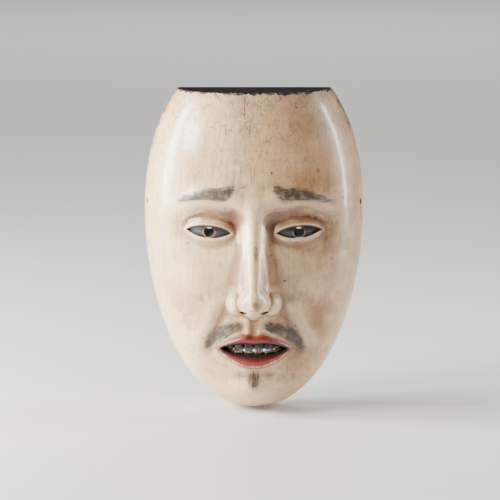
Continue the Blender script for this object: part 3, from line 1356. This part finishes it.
    painted = p.either(in_eye, on_lips)
    sheen = p.total(p.ramp(blotch, 0.3, 0.8, 0.26, 0.44), p.product(ink, 0.15), p.product(worn, 0.25),
                    p.product(stain, 0.06), p.product(painted, 0.04))
    relief = p.total(p.product(lines, 0.045), p.product(wide_lines, 0.07), p.product(cross_lines, 0.02),
                     p.product(p.noise(5, 3, shift=101), 0.16), p.product(cracked, -0.06),
                     p.product(pinholes, -0.08), p.product(flecks, -0.06), p.product(scratched, -0.03),
                     p.product(worn, -0.05), p.product(flakes, on_lips, -0.08))
    return p.finish(body, sheen, relief, Coat_Weight=0.34, Coat_Roughness=0.14)


def hollow_lacquer():
    """Brown-black lacquer over gouge cuts, rubbed to the wood on its ridges and its rim."""
    p = Paint("hollow_lacquer")
    cloud = p.noise(30, 4)
    body = p.mix(p.ramp(cloud, 0.35, 0.65), colour(38, 25, 18), colour(66, 40, 26))
    brush = p.noise(0.9, 4, 0.6, (1, 1, 0.05))
    body = p.mix(p.ramp(brush, 0.5, 0.75, 0, 0.35), body, colour(92, 58, 36))
    tatter = p.noise(3.2, 6, 0.7, shift=11)
    rubbed = p.ramp(p.total(p.product(p.mark("ridge"), 0.30), tatter), 0.76, 0.90)
    on_rim = p.ramp(p.y, -1.6, -0.5)
    rim_worn = p.product(on_rim, p.ramp(p.noise(7, 6, 0.7, (1, 1, 0.6), 23), 0.50, 0.60))
    bare = p.either(p.product(rubbed, 0.75), p.product(rim_worn, 0.9))
    wood_tone = p.mix(p.noise(1.1, 3, 0.6, (1, 1, 0.05), 29), OLD_WOOD, colour(92, 60, 36))
    body = p.mix(bare, body, wood_tone)
    dust = p.product(p.ramp(p.noise(9, 5, 0.6, shift=37), 0.5, 0.8), 0.25)
    body = p.mix(dust, body, colour(128, 112, 92))
    scratched = p.either(p.scratches(13, (1, 1, 0.3)), p.scratches(19, (0.4, 0.4, 1), 13))
    body = p.mix(p.product(scratched, 0.5), body, OLD_WOOD)
    pitted = p.specks(3.1, 0.3, 0.4)
    sheen = p.total(p.ramp(cloud, 0.3, 0.7, 0.22, 0.34), p.product(bare, 0.3), dust)
    relief = p.total(p.product(brush, 0.05), p.product(bare, -0.05), p.product(pitted, -0.08),
                     p.product(p.noise(4, 3, shift=43), 0.12), p.product(scratched, -0.04))
    return p.finish(body, sheen, relief, Coat_Weight=0.25, Coat_Roughness=0.2)


def black_lacquer():
    """Black lacquer on the flat top: worn at its corners, with a pale line along its rear edge."""
    p = Paint("black_lacquer")
    cloud = p.noise(12, 4)
    body = p.mix(p.ramp(cloud, 0.35, 0.7), colour(20, 17, 16), colour(38, 32, 29))
    tatter = p.noise(1.7, 6, 0.72, shift=5)
    from_edge = p.mark("from_edge")
    chipped = p.ramp(p.total(p.ramp(from_edge, 1.8, 0.0, 0, 0.30), tatter), 0.80, 0.86)
    ends = p.ramp(p.maths("ABSOLUTE", p.x), plate_high[0] - 5, plate_high[0] + 1)
    worn_ends = p.ramp(p.total(p.product(ends, 0.34), tatter), 0.72, 0.84)
    rear = p.product(p.ramp(p.y, -0.9, -0.4), p.ramp(tatter, 0.3, 0.45, 0.4, 0.9))
    flecked = p.specks(9, 0.8, 0.35, 2.0)
    bare = p.either(p.either(chipped, worn_ends), p.either(rear, flecked))
    body = p.mix(p.product(bare, 0.85), body, p.mix(p.ramp(cloud, 0.4, 0.6), colour(186, 158, 122), OLD_WOOD))
    scratched = p.either(p.scratches(9, (0.4, 1, 1)), p.scratches(7, (1, 0.5, 1), 13))
    body = p.mix(p.product(scratched, 0.5), body, colour(96, 86, 76))
    sheen = p.total(p.ramp(cloud, 0.3, 0.7, 0.5, 0.65), p.product(bare, 0.15))
    relief = p.total(p.product(p.noise(0.8, 3, 0.6, (0.06, 1, 1)), 0.03), p.product(bare, -0.08),
                     p.product(scratched, -0.03), p.product(cloud, 0.1))
    return p.finish(body, sheen, relief, Specular_IOR_Level=0.01)


def cypress():
    """Cypress wood, darkened by age: fine growth rings along the height."""
    p = Paint("aged_cypress")
    rings = p.noise(1.6, 2, 0.5, (1, 1, 0.04))
    pores = p.noise(0.25, 3, 0.6, (1, 1, 0.05), 7)
    body = p.mix(p.ramp(rings, 0.4, 0.62), colour(150, 108, 70), colour(104, 68, 42))
    body = p.mix(p.ramp(pores, 0.5, 0.75, 0, 0.4), body, colour(62, 40, 26))
    body = p.mix(p.ramp(p.noise(14, 4, shift=9), 0.4, 0.75, 0, 0.5), body, DIRT)
    body = p.mix(p.product(p.mark("pierced"), 0.88), body, SOOT)
    relief = p.total(p.product(rings, 0.08), p.product(pores, 0.05))
    return p.finish(body, p.ramp(rings, 0.3, 0.7, 0.5, 0.7), relief)


def tooth_black():
    """Teeth blackened with iron and gall, with the dye worn off their edges."""
    p = Paint("tooth_black")
    cloud = p.noise(2.4, 4, 0.6)
    body = p.mix(p.ramp(cloud, 0.4, 0.7), colour(30, 27, 26), colour(74, 70, 68))
    streaks = p.noise(0.5, 3, 0.6, (1, 1, 0.15), 3)
    body = p.mix(p.ramp(streaks, 0.5, 0.8, 0, 0.5), body, colour(110, 104, 98))
    worn = p.ramp(p.total(p.product(p.mark("worn"), 0.42), p.noise(0.9, 5, 0.7, shift=5)), 0.72, 0.86)
    body = p.mix(p.product(worn, 0.85), body, colour(206, 182, 140))
    relief = p.total(p.product(streaks, 0.03), p.product(cloud, 0.05), p.product(worn, -0.03))
    sheen = p.ramp(cloud, 0.3, 0.7, 0.16, 0.34)
    return p.finish(body, sheen, relief, Coat_Weight=0.4, Coat_Roughness=0.1)


def pad_cloth():
    """Plain woven cotton, browned by use, with a stitched seam."""
    p = Paint("pad_cloth")
    thread = 0.62
    across, up = p.mark("thread_across"), p.mark("thread_up")

    def weave(position, other):
        """Rounded threads along one way, which pass over and under the others."""
        wave = p.maths("SINE", p.product(position, 2 * pi / thread))
        over = p.maths("SINE", p.product(other, pi / thread))
        return p.product(p.ramp(wave, -1, 1), p.ramp(over, -1, 1, 0.45, 1.0))

    woven = p.either(weave(across, up), weave(up, across))
    body = p.mix(p.ramp(p.noise(7, 4), 0.35, 0.7), colour(158, 126, 88), colour(120, 88, 58))
    body = p.mix(p.ramp(woven, 0.75, 0.2, 0, 0.6), body, colour(70, 48, 32))
    body = p.mix(p.ramp(p.noise(5, 5, 0.65, shift=11), 0.5, 0.75, 0, 0.55), body, colour(78, 54, 38))
    seam = p.mark("seam")
    stitch = p.product(p.ramp(seam, 0.4, 0.8), p.ramp(p.noise(1.0, 1, shift=3), 0.45, 0.55))
    body = p.mix(p.product(stitch, 0.7), body, colour(206, 190, 160))
    relief = p.total(p.product(woven, 0.12), p.product(p.noise(0.3, 3), 0.05), p.product(stitch, 0.1))
    return p.finish(body, 0.88, relief, Sheen_Weight=0.25, Sheen_Roughness=0.5)


for material, pieces in (
    (shell_white(), [gofun]),
    (hollow_lacquer(), [film]),
    (black_lacquer(), [plate]),
    (cypress(), [wood]),
    (tooth_black(), [upper_row, lower_row]),
    (pad_cloth(), pads),
):
    for piece in pieces:
        piece.data.materials.append(material)

# ---------------------------------------------------------------- camera, light and floor

# In this section, lengths are in metres.
CAMERA_DISTANCE = 1.4
CAMERA_ELEVATION = radians(10)
PICTURE_WIDTH = 0.3158  # width of the view at the mask
LOOK_AT = Vector((-0.0025, -0.030, -0.0292))
FLOOR_REACH = 12.0
FLOOR_GAP = 0.001  # between the chin and the floor
FLOOR_COLOUR = (0.72, 0.71, 0.69, 1)
WORLD_COLOUR = (0.78, 0.78, 0.78, 1)
WORLD_STRENGTH = 0.09
LIGHTS = (  # name, place, size, watts and what it is aimed at
    ("left_strip", (-0.80, -0.06, 0.20), (0.17, 0.64), 27, LOOK_AT),
    ("right_strip", (0.82, 0.04, 0.20), (0.09, 0.64), 9, LOOK_AT),
    ("key", (-1.30, -0.66, 0.60), (0.50, 0.50), 50, LOOK_AT),
    ("backdrop", (0.0, 3.2, 2.4), (5.0, 2.4), 130, (0.0, 3.0, -0.136)),
)


def aim(thing, place, target):
    """Puts a camera or light in its place, turned to a target."""
    thing.location = place
    thing.rotation_mode = "QUATERNION"
    thing.rotation_quaternion = (Vector(target) - Vector(place)).to_track_quat("-Z", "Y")
    bpy.context.scene.collection.objects.link(thing)
    return thing


camera = bpy.data.cameras.new("camera")
camera.lens = camera.sensor_width * CAMERA_DISTANCE / PICTURE_WIDTH
back_off = Vector((0, -np.cos(CAMERA_ELEVATION), np.sin(CAMERA_ELEVATION))) * CAMERA_DISTANCE
bpy.context.scene.camera = aim(bpy.data.objects.new("camera", camera), LOOK_AT + back_off, LOOK_AT)

for name, place, size, power, target in LIGHTS:
    light = bpy.data.lights.new(name, "AREA")
    light.shape = "RECTANGLE"
    light.size, light.size_y = size
    light.energy = power
    aim(bpy.data.objects.new(name, light), place, target)

floor_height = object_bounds()[0][2] - FLOOR_GAP
floor_corners = np.array([[x, y, floor_height] for x, y in ((-1, -1), (1, -1), (1, 1), (-1, 1))])
floor_corners[:, :2] *= FLOOR_REACH
floor = mesh_object("floor", floor_corners / MM, [[0, 1, 2, 3]])
floor_paint = bpy.data.materials.new("floor_paint")
floor_paint.use_nodes = True
floor_paint.node_tree.nodes["Principled BSDF"].inputs["Base Color"].default_value = FLOOR_COLOUR
floor.data.materials.append(floor_paint)
world = bpy.data.worlds.new("studio")
bpy.context.scene.world = world
world.use_nodes = True
background = world.node_tree.nodes["Background"]
background.inputs["Color"].default_value = WORLD_COLOUR
background.inputs["Strength"].default_value = WORLD_STRENGTH
